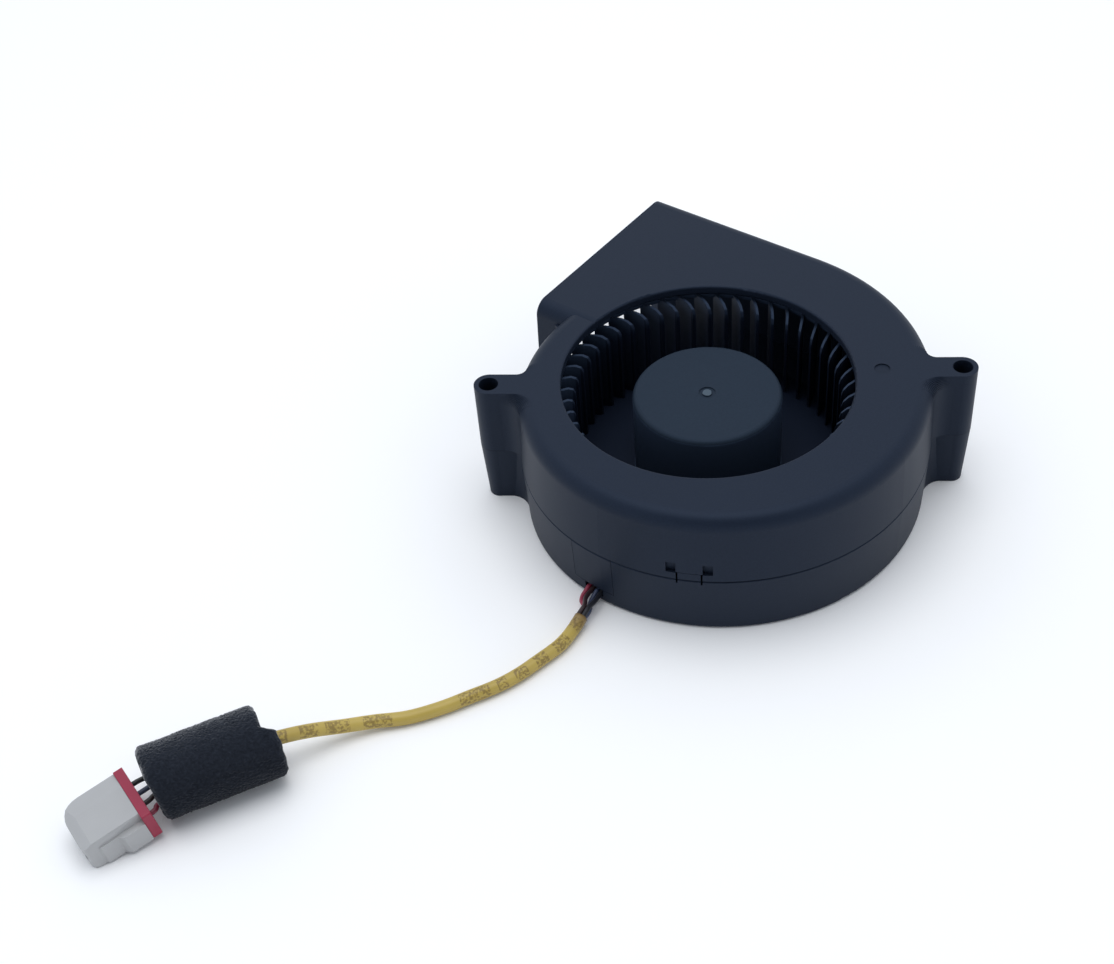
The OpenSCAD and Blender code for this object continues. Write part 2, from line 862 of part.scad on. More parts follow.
// The lower insulator also has the legs that hold the circuit board
module lower_insulator() {
    color("ivory") {
        translate([0, 0, stator_z]) mirror([0, 0, 1]) insulator();
        for (a = leg_angles)
            rotate(a)
                translate([core_r - leg_r, 0, board_top])
                    cylinder(r = leg_r, h = stator_z - insulator_t - board_top);
    }
}

module coil(k) {
    former_h = stator_h + 2 * insulator_t + 2 * fit_gap;
    former_w = tooth_w + 2 * fit_gap;
    color("chocolate")
        rotate(90 * (k - 1))
            translate([coil_in_r, 0, stator_z + stator_h / 2])
                rotate([90, 0, 90])
                    linear_extrude(coil_out_r - coil_in_r)
                        difference() {
                            rounded_rect(former_w + 2 * coil_t, former_h + 2 * coil_t, coil_t);
                            square([former_w, former_h], center = true);
                        }
}

module circuit_board() {
    color("darkgreen") translate([0, 0, board_z]) ring(board_r, board_hole_r, board_t);
}

// A block on the circuit board, its inner face at a radius
module board_block(size, from_r, angle) {
    rotate(angle) translate([from_r, -size[1] / 2, board_top]) cube(size);
}

module hall_sensor() {
    color("#202020") board_block(hall_size, magnet_r - magnet_t / 2 - hall_size[0] / 2, hall_angle);
}

module driver_chip() {
    color("#181818") board_block(driver_size, board_hole_r + chip_room, driver_angle);
}

module capacitor() {
    color("tan") board_block(capacitor_size, board_hole_r + 2 * chip_room, capacitor_angle);
}

// Lead and connector

// One wire in two stretches: circuit board to sleeve, and foam to connector
module lead(k) {
    y = wire_y(k);
    out = heading(sleeve_route, 0);
    across = unit(cross([0, 0, 1], out));
    mouth = sleeve_route[0] - end_room * out;
    gather = mouth - bundle * bundle_side(k) * across + bundle * bundle_up(k) * cross(out, across);
    near = concat(
        [[solder_x, y, board_z - solder_drop]],
        [for (bend = fall) [bend[0], y, bend[1]]],
        [[floor_end_x, y, wire_z], [window_out_x, y, wire_z], [swing[0], y + swing[1], gather[2]]],
        [gather - 2 * out, gather]
    );
    rear = conn_point([-end_room, contact_y[k], 0]);
    near_rear = conn_point([-wire_d, contact_y[k], 0]);
    spread = fan_out * (rear - conn_point([-end_room, 0, 0]));
    level = [0, 0, conn_at[2] + leave_rise - foam_end[2]];
    leave = foam_end + fit_gap * foam_dir + spread - (spread * foam_dir) * foam_dir + level;
    far = [leave, leave + end_room * foam_dir, near_rear, rear];
    color(wire_shades[k]) {
        tube(near, wire_d, 8, [0, 1, 0]);
        tube(far, wire_d, 8, [0, 0, 1]);
    }
}

module cable_sleeve() {
    color("#bea550") tube(sleeve_route, sleeve_d, 8, [0, 0, 1]);
}

module foam_sleeve() {
    color("#262c36")
        translate(foam_start) rotate([0, 90, foam_heading]) cylinder(d = foam_d, h = foam_len);
}

// A point of the connector's own frame, in the part's frame
function pitched(p) =
    [p[0] * cos(conn_pitch) + p[2] * sin(conn_pitch), p[1], p[2] * cos(conn_pitch) - p[0] * sin(conn_pitch)];
function turned(p, a) = [p[0] * cos(a) - p[1] * sin(a), p[0] * sin(a) + p[1] * cos(a), p[2]];
function conn_point(p) = conn_at + turned(pitched(p), conn_heading);

module at_connector() {
    translate(conn_at) rotate([0, conn_pitch, conn_heading]) children();
}

module contact_bars(size, from, to) {
    for (y = contact_y)
        translate([from, y - size / 2, -size / 2]) cube([to - from, size, size]);
}

// Section across the connector, with its sloped far shoulder
module connector_section() {
    w = conn_w / 2;
    half = conn_t / 2;
    polygon([[-w, -half], [near_w, -half], [near_w, half], [-face_far, half], [-w, half - far_drop]]);
}

// Plan of the connector with its rounded front corners
module connector_plan() {
    w = conn_w / 2;
    polygon(concat(
        [[retainer_t - overrun, w + overrun], [retainer_t - overrun, -w - overrun]],
        [[conn_front - far_round, -w - overrun]],
        [for (a = [-90:15:0]) [conn_front - far_round, far_round - w] + far_round * [cos(a), sin(a)]],
        [for (a = [0:15:90]) [conn_front - near_round, near_w - near_round] + near_round * [cos(a), sin(a)]],
        [[conn_front - near_round, w + overrun]]
    ));
}

// A rib along the near side, rounded off towards its front end
module side_rib(length, out) {
    translate([0, 0, -conn_t / 2])
        linear_extrude(conn_t - ledge_drop)
            polygon([
                [retainer_t, near_w - overrun], [retainer_t + length + out, near_w - overrun],
                [retainer_t + length + out, near_w], [retainer_t + length, near_w + out],
                [retainer_t, near_w + out]
            ]);
}

module connector_housing() {
    color("#d8dadc")
        at_connector()
            difference() {
                union() {
                    intersection() {
                        translate([retainer_t, 0, 0])
                            rotate([90, 0, 90]) linear_extrude(conn_len) connector_section();
                        translate([0, 0, -conn_t]) linear_extrude(2 * conn_t) connector_plan();
                    }
                    side_rib(ledge_len, ledge_out);
                    side_rib(rail_len, rail_out);
                }
                // Sloped front of the main face
                translate([conn_front - front_bevel, -conn_w, conn_t / 2])
                    rotate([0, front_slope, 0]) cube([2 * front_bevel, 2 * conn_w, conn_t]);
                contact_bars(cavity, 0, conn_front + overrun);
            }
}

module connector_retainer() {
    color("#a8304e")
        at_connector()
            difference() {
                translate([0, -conn_w / 2, -conn_t / 2]) cube([retainer_t, conn_w, conn_t]);
                for (y = contact_y)
                    translate([-overrun, y, 0])
                        rotate([0, 90, 0])
                            cylinder(d = wire_d + wire_room, h = retainer_t + 2 * overrun);
            }
}

module connector_contacts() {
    color("gold")
        at_connector() contact_bars(contact_size, retainer_t + seam_gap, conn_front - contact_set);
}

upper_cover();
lower_base();
impeller();
rotor_yoke();
magnet_ring();
shaft();
shaft_bush();
preload_spring();
retaining_clip();
bearing_tube();
outer_ring(bearing_high_z);  // upper_bearing_outer_ring
inner_ring(bearing_high_z);  // upper_bearing_inner_ring
balls(bearing_high_z);  // upper_bearing_balls
cage(bearing_high_z);  // upper_bearing_cage
outer_ring(bearing_low_z);  // lower_bearing_outer_ring
inner_ring(bearing_low_z);  // lower_bearing_inner_ring
balls(bearing_low_z);  // lower_bearing_balls
cage(bearing_low_z);  // lower_bearing_cage
stator_core();
upper_insulator();
lower_insulator();
coil(1);  // coil_1
coil(2);  // coil_2
coil(3);  // coil_3
coil(4);  // coil_4
circuit_board();
hall_sensor();
driver_chip();
capacitor();
lead(0);  // lead_black
lead(1);  // lead_blue
lead(2);  // lead_brown
lead(3);  // lead_red
cable_sleeve();
foam_sleeve();
connector_housing();
connector_retainer();
connector_contacts();
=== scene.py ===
"""Looks of a small centrifugal blower with a four-wire lead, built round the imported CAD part."""

import json
import math

import bpy
from mathutils import Matrix, Vector, noise


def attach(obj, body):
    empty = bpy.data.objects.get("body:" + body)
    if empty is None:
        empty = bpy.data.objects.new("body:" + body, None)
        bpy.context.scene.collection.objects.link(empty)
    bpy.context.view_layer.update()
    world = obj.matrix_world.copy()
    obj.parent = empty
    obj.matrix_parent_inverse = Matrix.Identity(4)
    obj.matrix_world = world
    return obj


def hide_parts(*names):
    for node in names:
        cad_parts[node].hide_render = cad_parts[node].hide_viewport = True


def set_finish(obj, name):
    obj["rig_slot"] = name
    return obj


MM = 0.001

# Camera of the photograph, in millimetres and degrees
CAMERA_TARGET = (-19.951, 30.332, 0.0)
CAMERA_DISTANCE = 410.494
CAMERA_ELEVATION = 43.503
CAMERA_AZIMUTH = -49.209
CAMERA_ROLL = -5.337
CAMERA_LENS = 54.94
SENSOR_WIDTH = 36.0

# Wires: the route and sizes of part.scad, in millimetres
WIRES = ("black", "blue", "brown", "red")
MIDDLE = (len(WIRES) - 1) / 2
WIRE_D = 1.1
WIRE_STEP = 1.15
WIRE_Z = 2.35
EXIT_X = -45.0
EXIT_Y = 0.5
SOLDER = [(-11.2, 4.4), (-11.6, 3.3), (-13.2, 2.45), (-16.0, WIRE_Z), (-30.0, WIRE_Z)]
SWING = (-48.5, -0.6)
# Straight runs of the wires before the sleeve's mouth, in the foam's end and in the connector
MOUTH_RUN = 2.0
FOAM_RUN = 6.0
CONTACT_RUN = 1.5

# Sleeve: its route in part.scad, run on into the foam; its first rings are left off to bare the wires
SLEEVE_ROUTE = [
    (-52.5, -1.6, 2.2), (-57, -2.2, 1.7), (-62, -2.4, 1.6), (-68, -1.3, 1.6), (-74, 0.1, 1.6),
    (-79, 2, 1.6), (-84, 4.7, 1.6), (-90, 8, 1.6), (-96, 12.3, 1.6), (-101, 17, 2.2),
    (-106.5, 20.9, 3.6), (-112.5, 24.3, 6), (-118, 27.2, 7.6), (-122.5, 29.7, 8.1),
]
SLEEVE_D = 3.0
SLEEVE_WALL = 0.12
SLEEVE_SIDES = 32
SLEEVE_STEPS = 8
SLEEVE_BARE = 2

# Worn print on the sleeve: where each group of marks starts and ends along it, and the side it is on
SLEEVE_MARKS = [
    (1.0, 3.8), (6.7, 10.5), (12.9, 16.3), (18.6, 21.8), (23.8, 26.1), (27.8, 34.7),
    (49.3, 55.9), (58.8, 64.3), (65.8, 69.8), (72.3, 74.1),
]
SLEEVE_LENGTH = 74.6
MARK_SIDE = (-0.45, -0.45, 0.77)

# Foam: its skin varies about the CAD cylinder, and the limit keeps it off the floor
FOAM_LENGTH = 27.0
FOAM_START = (-118.3, 27.4, 8.2)
FOAM_HEADING = 151.3
FOAM_RADIUS = 8.0
FOAM_LIMIT = 8.2
FOAM_BORE = 1.9
FOAM_RINGS = 150
FOAM_SIDES = 288
# Depth of the lumps, dents and fluff of the skin, and how many of each lie in a millimetre
FOAM_SKIN = [(0.16, 0.25), (0.06, 1.3), (0.3, 9.1)]
FOAM_ROUND = 0.9
FOAM_ROUND_REACH = 1.4
# Hand-cut ends, in millimetres and in degrees round the tube
CUT_BACK = 0.2
FLAP_SHORT = 2.6
FLAP_FROM = 58
FLAP_RISE = 18
FLAP_TO = 232
FLAP_FALL = 30
LEAN_BACK = -0.1
LEAN = 0.8
LEAN_AT = 120
RAGGED = 0.3
RAGGED_WAVES = 3
ENDS_APART = 7

# Connector: the place and turn of its CAD nodes
CONNECTOR_AT = (-144.4, 40.98, 5.562)
CONNECTOR_HEADING = 162.0
CONNECTOR_PITCH = 6.7
CONNECTOR_ROUND = 0.35
CONTACT_PITCH = 2.9
CONTACT_MID = -0.3
FAN_OUT = 0.92
LEAVE_RISE = 0.3

# Wheel, gate stub at the centre of its hub, ejector mark on the cover, and seam of the two halves
# The wheel's bounds below say where its painted light and painted shade lie
HUB_RADIUS = 17.25
HUB_EDGE = 27.3
BLADE_INNER = 24.0
BLADE_EDGE = 30.85
BLADE_TOP = 29.8
BLADE_FADE = 4.5
PLATE_TOP = 9.5
STUB_RADIUS = 1.3
STUB_RAGGED = 0.5
MARK_AT = (23.27, -31.67)
MARK_RADIUS = 1.8
MARK_FLOOR = 32.75
SEAM_Z = 15.4
SEAM_HALF = 0.11

UP = Vector((0, 0, 1))


def mm(point):
    """A point in millimetres as a vector in metres."""
    return Vector(point) * MM


# Frame and camera

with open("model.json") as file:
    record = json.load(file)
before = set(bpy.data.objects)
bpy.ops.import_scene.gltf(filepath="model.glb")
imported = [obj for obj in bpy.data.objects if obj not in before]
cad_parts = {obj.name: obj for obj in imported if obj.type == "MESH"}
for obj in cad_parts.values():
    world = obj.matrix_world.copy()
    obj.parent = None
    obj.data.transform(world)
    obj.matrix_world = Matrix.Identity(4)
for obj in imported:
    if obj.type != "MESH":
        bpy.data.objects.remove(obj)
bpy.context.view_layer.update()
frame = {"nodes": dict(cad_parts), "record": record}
NODES = frame["nodes"]


def make_camera():
    data = bpy.data.cameras.new("photo_camera")
    data.lens = CAMERA_LENS
    data.sensor_width = SENSOR_WIDTH
    camera = bpy.data.objects.new("photo_camera", data)
    bpy.context.scene.collection.objects.link(camera)
    azimuth, elevation = math.radians(CAMERA_AZIMUTH), math.radians(CAMERA_ELEVATION)
    back = Vector((
        math.sin(azimuth) * math.cos(elevation),
        -math.cos(azimuth) * math.cos(elevation),
        math.sin(elevation),
    ))
    turn = (-back).to_track_quat("-Z", "Y").to_matrix().to_4x4()
    roll = Matrix.Rotation(math.radians(CAMERA_ROLL), 4, "Z")
    place = mm(CAMERA_TARGET) + back * CAMERA_DISTANCE * MM
    camera.matrix_world = Matrix.Translation(place) @ turn @ roll
    bpy.context.scene.camera = camera
    return back


camera_back = make_camera()

# Shapes


def mesh_piece(name, points, faces, smooth=True):
    mesh = bpy.data.meshes.new(name)
    mesh.from_pydata([tuple(p) for p in points], [], faces)
    mesh.update()
    for face in mesh.polygons:
        face.use_smooth = smooth
    piece = bpy.data.objects.new(name, mesh)
    bpy.context.scene.collection.objects.link(piece)
    return piece


def wire_piece(name, points, diameter):
    """A round wire as one open spline; its radius is on the knots, which keeps its bound box true."""
    curve = bpy.data.curves.new(name, "CURVE")
    curve.dimensions = "3D"
    curve.resolution_u = 8
    curve.bevel_depth = 1.0
    curve.bevel_resolution = 4
    curve.use_fill_caps = True
    spline = curve.splines.new("BEZIER")
    spline.bezier_points.add(len(points) - 1)
    for knot, point in zip(spline.bezier_points, points):
        knot.co = point
        knot.radius = diameter / 2
        knot.handle_left_type = knot.handle_right_type = "AUTO"
    piece = bpy.data.objects.new(name, curve)
    bpy.context.scene.collection.objects.link(piece)
    return piece


def heading(route, i):
    return (route[min(i + 1, len(route) - 1)] - route[max(i - 1, 0)]).normalized()


def across(direction):
    return UP.cross(direction).normalized()


def smooth_route(points, steps):
    """Points of a Catmull-Rom curve through a route."""
    made = []
    last = len(points) - 1
    for i in range(last):
        a, b, c, d = (points[max(0, min(last, i + k))] for k in (-1, 0, 1, 2))
        for s in range(steps):
            t = s / steps
            made.append(0.5 * (2 * b + (c - a) * t + (2 * a - 5 * b + 4 * c - d) * t ** 2
                               + (3 * b - a - 3 * c + d) * t ** 3))
    return made + [points[last]]


def tube_piece(name, route, outer, inner, sides, slide=lambda i, angle: 0.0):
    """A hollow tube along a route; the functions give radius and slide along it at a ring and angle."""
    points, faces = [], []
    rings = len(route)
    for i in range(rings):
        direction = heading(route, i)
        side = across(direction)
        rise = direction.cross(side)
        for radius in (outer, inner):
            for k in range(sides):
                angle = 2 * math.pi * k / sides
                spoke = math.cos(angle) * side + math.sin(angle) * rise
                points.append(route[i] + slide(i, angle) * direction + radius(i, angle) * spoke)
    ring = 2 * sides
    end = (rings - 1) * ring
    for i in range(rings - 1):
        for k in range(sides):
            n = (k + 1) % sides
            a, b = i * ring, (i + 1) * ring
            faces.append((a + k, a + n, b + n, b + k))
            faces.append((a + sides + n, a + sides + k, b + sides + k, b + sides + n))
    for k in range(sides):
        n = (k + 1) % sides
        faces.append((n, k, sides + k, sides + n))
        faces.append((end + k, end + n, end + sides + n, end + sides + k))
    return mesh_piece(name, points, faces)


def add_values(piece, name, values):
    """A named value on every point of a mesh, for its material."""
    piece.data.attributes.new(name, "FLOAT", "POINT").data.foreach_set("value", values)


def soften(node, width):
    """Small rounds on the sharp edges of a CAD node."""
    weld = node.modifiers.new("weld", "WELD")
    weld.merge_threshold = 0.002 * MM
    bevel = node.modifiers.new("rounds", "BEVEL")
    bevel.width = width * MM
    bevel.segments = 3
    bevel.limit_method = "ANGLE"
    bevel.angle_limit = math.radians(35)
    bevel.use_clamp_overlap = True


# Wires

sleeve_route = [mm(p) for p in SLEEVE_ROUTE]
foam_axis = Vector((math.cos(math.radians(FOAM_HEADING)), math.sin(math.radians(FOAM_HEADING)), 0))
foam_end = mm(FOAM_START) + FOAM_LENGTH * MM * foam_axis
connector_turn = (
    Matrix.Translation(mm(CONNECTOR_AT))
    @ Matrix.Rotation(math.radians(CONNECTOR_HEADING), 4, "Z")
    @ Matrix.Rotation(math.radians(CONNECTOR_PITCH), 4, "Y")
)


def wire_y(k):
    return EXIT_Y + (k - MIDDLE) * WIRE_STEP


def contact_point(k, x):
    return connector_turn @ mm((x, CONTACT_MID + (k - MIDDLE) * CONTACT_PITCH, 0))


def bundle_offset(k, direction):
    """A wire's place in the bundle of two by two."""
    half = WIRE_STEP / 2 * MM
    side = -1 if k < 2 else 1
    rise = 1 if k % 2 == 0 else -1
    return half * (rise * direction.cross(across(direction)) - side * across(direction))


def lead_points(k):
    """A wire from the housing's window through sleeve and foam to the connector."""
    y = wire_y(k)
    out = heading(sleeve_route, 0)
    mouth = sleeve_route[0] + bundle_offset(k, out)
    points = [mm((EXIT_X, y, WIRE_Z)), mm((SWING[0], y + SWING[1], mouth.z / MM))]
    points.append(mouth - MOUTH_RUN * MM * out)
    for i, place in enumerate(sleeve_route):
        points.append(place + bundle_offset(k, heading(sleeve_route, i)))
    spread = FAN_OUT * (contact_point(k, 0) - connector_turn.translation)
    leave = foam_end + spread - spread.dot(foam_axis) * foam_axis
    leave.z = connector_turn.translation.z + LEAVE_RISE * MM
    points.append(leave - FOAM_RUN * MM * foam_axis)
    points.append(leave)
    points.append(contact_point(k, -WIRE_D))
    points.append(contact_point(k, CONTACT_RUN))
    return points


def inner_points(k):
    """The same wire inside the housing, from the circuit board to the window."""
    return [mm((x, wire_y(k), z)) for x, z in SOLDER] + [mm((EXIT_X, wire_y(k), WIRE_Z))]


wires, inner_wires = [], []
for k, colour in enumerate(WIRES):
    wire = wire_piece(f"wire_{colour}", lead_points(k), WIRE_D * MM)
    inner = wire_piece(f"wire_{colour}_inner", inner_points(k), WIRE_D * MM)
    for piece in (wire, inner):
        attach(piece, "housing")
        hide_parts(f"lead_{colour}")
        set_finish(piece, f"wire_{colour}")
    wires.append(wire)
    inner_wires.append(inner)

# Sleeve

smooth_sleeve = smooth_route(sleeve_route, SLEEVE_STEPS)[SLEEVE_BARE:]
sleeve = tube_piece(
    "sleeve",
    smooth_sleeve,
    lambda i, angle: SLEEVE_D / 2 * MM,
    lambda i, angle: (SLEEVE_D / 2 - SLEEVE_WALL) * MM,
    SLEEVE_SIDES,
)
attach(sleeve, "housing")
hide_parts("cable_sleeve")
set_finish(sleeve, "sleeve_yellow")


def sleeve_values():
    """Distance along the sleeve, and how far each point faces the side that carries the print."""
    along, facing = [], []
    reach = 0.0
    print_side = Vector(MARK_SIDE).normalized()
    for i, centre in enumerate(smooth_sleeve):
        if i:
            reach += (centre - smooth_sleeve[i - 1]).length / MM
        for vertex in sleeve.data.vertices[i * 2 * SLEEVE_SIDES:(i + 1) * 2 * SLEEVE_SIDES]:
            along.append(reach)
            facing.append((vertex.co - centre).normalized().dot(print_side))
    return along, facing


for value_name, values in zip(("along", "facing"), sleeve_values()):
    add_values(sleeve, value_name, values)

# Foam


def foam_outer(i, angle):
    """Uneven skin and rounded ends of the foam tube."""
    place = i / (FOAM_RINGS - 1) * FOAM_LENGTH
    around = Vector((place, FOAM_RADIUS * math.cos(angle), FOAM_RADIUS * math.sin(angle)))
    skin = sum(depth * noise.noise(around * count) for depth, count in FOAM_SKIN)
    to_end = min(place, FOAM_LENGTH - place)
    rounded = FOAM_ROUND * max(0.0, 1 - to_end / FOAM_ROUND_REACH) ** 2
    return min(FOAM_RADIUS + skin - rounded, FOAM_LIMIT) * MM


def ease(share):
    """A smooth rise from 0 to 1."""
    share = max(0.0, min(1.0, share))
    return share * share * (3 - 2 * share)


def foam_slide(i, angle):
    """Hand-cut ends: the far flap is short at the sleeve, and the other end leans."""
    share = i / (FOAM_RINGS - 1)
    turn = math.degrees(angle)
    flap = ease((turn - FLAP_FROM) / FLAP_RISE) * ease((FLAP_TO - turn) / FLAP_FALL)
    short = CUT_BACK + FLAP_SHORT * flap
    lean = LEAN_BACK + LEAN * math.cos(angle - math.radians(LEAN_AT))
    around = RAGGED_WAVES * math.cos(angle), RAGGED_WAVES * math.sin(angle)
    ragged = RAGGED * noise.noise(Vector((*around, ENDS_APART * round(share))))
    return ((1 - share) * short + share * lean + ragged) * MM


foam_route = [
    mm(FOAM_START) + FOAM_LENGTH * MM * i / (FOAM_RINGS - 1) * foam_axis for i in range(FOAM_RINGS)
]
foam = tube_piece("foam", foam_route, foam_outer, lambda i, angle: FOAM_BORE * MM, FOAM_SIDES, foam_slide)
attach(foam, "housing")
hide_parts("foam_sleeve")
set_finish(foam, "foam_black")

# Cord and connector

soften(NODES["connector_housing"], CONNECTOR_ROUND)
soften(NODES["connector_retainer"], CONNECTOR_ROUND)

# Colours of the mouldings, the sleeve and the foam, linear red, green and blue
HOUSING = (0.0090, 0.0136, 0.0246)
SEAM = (0.002, 0.003, 0.006)
WHEEL = (0.0155, 0.0245, 0.0385)
# Painted light on the hub's side and the blades' tops
WHEEL_SIDE_PAINTED_LIGHT = (0.030, 0.045, 0.076)
# Painted shade that darkens the wheel low in the well, outside the hub
WHEEL_PAINTED_SHADE = (0.0110, 0.0168, 0.0320)
# Painted shade on the back plate between the blades
WHEEL_PLATE_PAINTED_SHADE = (0.0068, 0.0103, 0.0205)
# Painted shade on the blade edges low in the well
WHEEL_EDGES_PAINTED_SHADE = (0.006, 0.009, 0.018)
GATE_STUB = (0.07, 0.095, 0.12)
SHEEN_BLUE = (0.55, 0.7, 1.0, 1)
SLEEVE_YELLOW = (0.42, 0.32, 0.09)
SLEEVE_PALE = (0.52, 0.385, 0.088)
SLEEVE_DEEP = (0.37, 0.262, 0.045)
SLEEVE_STAIN = (0.16, 0.09, 0.05)
SLEEVE_PRINT = (0.11, 0.06, 0.014)
FOAM = (0.016, 0.02, 0.028)
# Foam: painted light on its higher part and painted shade low down, each speckled between two colours
FOAM_PAINTED_LIGHT = ((0.006, 0.008, 0.0125), (0.028, 0.034, 0.048))
FOAM_PAINTED_SHADE = ((0.003, 0.004, 0.007), (0.011, 0.014, 0.021))

# Mouldings: roughness, shine, spread and spots of the colour per metre, and strength of the dark seam and
# of the painted shade in the ejector mark
MOULD_ROUGHNESS = 0.48
MOULD_GRAIN = 3000
MOULD_SPOTS = 2400
HOUSING_SHINE = 0.215
HOUSING_SPREAD = 0.22
SEAM_DARK = 0.75
MARK_PAINTED_SHADE = 0.12
WHEEL_SHINE = 0.12
WHEEL_SPREAD = 0.15
EDGE_DULL = 0.1
STUB_SPOTS = 900

# Sleeve: blots of the print start at a noise level and darken with a slope, on one side only
PRINT_SPOTS = 1700
PRINT_LEVEL = 0.42
PRINT_SLOPE = 7.0
PRINT_FACING = 0.5
PRINT_DARK = 0.62
TUBE_SPOTS = 90
STAIN_REACH = 5.0
STAIN_SOFT = 0.1
STAIN_DARK = 0.8

# Foam: specks and pits per metre, and the height where its painted light starts to turn it paler
FOAM_SPECKS = 1600
FOAM_PITS = 2600
FOAM_DETAIL = 3.0
FOAM_PAINTED_LIGHT_FROM = 2.0

# Materials


def material(name, colour, roughness, **sockets):
    made = bpy.data.materials.new(name)
    made.use_nodes = True
    shader = made.node_tree.nodes["Principled BSDF"]
    shader.inputs["Base Color"].default_value = (*colour, 1)
    shader.inputs["Roughness"].default_value = roughness
    for socket, value in sockets.items():
        shader.inputs[socket.replace("_", " ")].default_value = value
    return made


class Nodes:
    """Short calls for building a material's node tree."""

    def __init__(self, made):
        self.tree = made.node_tree
        self.shader = made.node_tree.nodes["Principled BSDF"]

    def plug(self, source, socket):
        if hasattr(source, "is_output"):
            self.tree.links.new(source, socket)
        else:
            socket.default_value = source

    def math(self, operation, *values):
        node = self.tree.nodes.new("ShaderNodeMath")
        node.operation = operation
        for value, socket in zip(values, node.inputs):
            self.plug(value, socket)
        return node.outputs[0]

    def both(self, *shares):
        """The product of some shares."""
        made = shares[0]
        for share in shares[1:]:
            made = self.math("MULTIPLY", made, share)
        return made

    def clamp(self, value):
        return self.math("MINIMUM", self.math("MAXIMUM", value, 0.0), 1.0)

    def place(self):
        return self.tree.nodes.new("ShaderNodeTexCoord").outputs["Object"]

    def axes(self):
        node = self.tree.nodes.new("ShaderNodeSeparateXYZ")
        self.plug(self.place(), node.inputs[0])
        return node.outputs

    def distance(self, x, y, centre):
        squares = []
        for position, middle in zip((x, y), centre):
            off = self.math("SUBTRACT", position, middle * MM)
            squares.append(self.math("MULTIPLY", off, off))
        return self.math("SQRT", self.math("ADD", *squares))

    def value(self, name):
        node = self.tree.nodes.new("ShaderNodeAttribute")
        node.attribute_name = name
        return node.outputs["Fac"]

    def noise(self, scale, detail=2.0):
        node = self.tree.nodes.new("ShaderNodeTexNoise")
        node.inputs["Scale"].default_value = scale
        node.inputs["Detail"].default_value = detail
        self.plug(self.place(), node.inputs["Vector"])
        return node.outputs["Fac"]

    def mix(self, share, first, second):
        node = self.tree.nodes.new("ShaderNodeMix")
        node.data_type = "RGBA"
        self.plug(share, node.inputs[0])
        for source, socket in ((first, node.inputs[6]), (second, node.inputs[7])):
            self.plug(source if hasattr(source, "is_output") else (*source, 1), socket)
        return node.outputs[2]

    def mottle(self, colour, spread, scale):
        """A colour that drifts lighter and darker by a share, in spots."""
        low, high = ([min(1.0, c * (1 + side * spread)) for c in colour] for side in (-1, 1))
        return self.mix(self.noise(scale), low, high)

    def colour(self, source):
        self.plug(source, self.shader.inputs["Base Color"])

    def bump(self, height, strength, distance):
        node = self.tree.nodes.new("ShaderNodeBump")
        node.inputs["Strength"].default_value = strength
        node.inputs["Distance"].default_value = distance
        self.plug(height, node.inputs["Height"])
        self.plug(node.outputs["Normal"], self.shader.inputs["Normal"])


def surface(name, colour, roughness, spread=0.06, spots=300, grain=2500, depth=0.02, **sockets):
    """A material whose colour drifts a little from spot to spot, with a fine grain."""
    made = material(name, colour, roughness, **sockets)
    nodes = Nodes(made)
    nodes.colour(nodes.mottle(colour, spread, spots))
    nodes.bump(nodes.noise(grain), 0.3, depth * MM)
    return made


def metal(name, colour, roughness, **looks):
    return surface(name, colour, roughness, Metallic=1.0, **looks)


def ribbed(made, position, pitch, depth):
    """Fine parallel ribs across a position, such as the turns of a winding."""
    nodes = Nodes(made)
    turns = nodes.math("SINE", nodes.math("MULTIPLY", position(nodes), 2 * math.pi / (pitch * MM)))
    nodes.bump(turns, 0.6, depth * MM)
    return made


def off_axis(nodes):
    x, y = nodes.axes()[:2]
    return nodes.distance(x, y, (0, 0))


def height(nodes):
    return nodes.axes()[2]


def plastic(name, colour, level):
    """Dark satin moulding with a fine grain and a cool reflection."""
    made = material(name, colour, MOULD_ROUGHNESS, Specular_IOR_Level=level, Specular_Tint=SHEEN_BLUE)
    nodes = Nodes(made)
    nodes.bump(nodes.noise(MOULD_GRAIN), 0.15, 0.05 * MM)
    return made


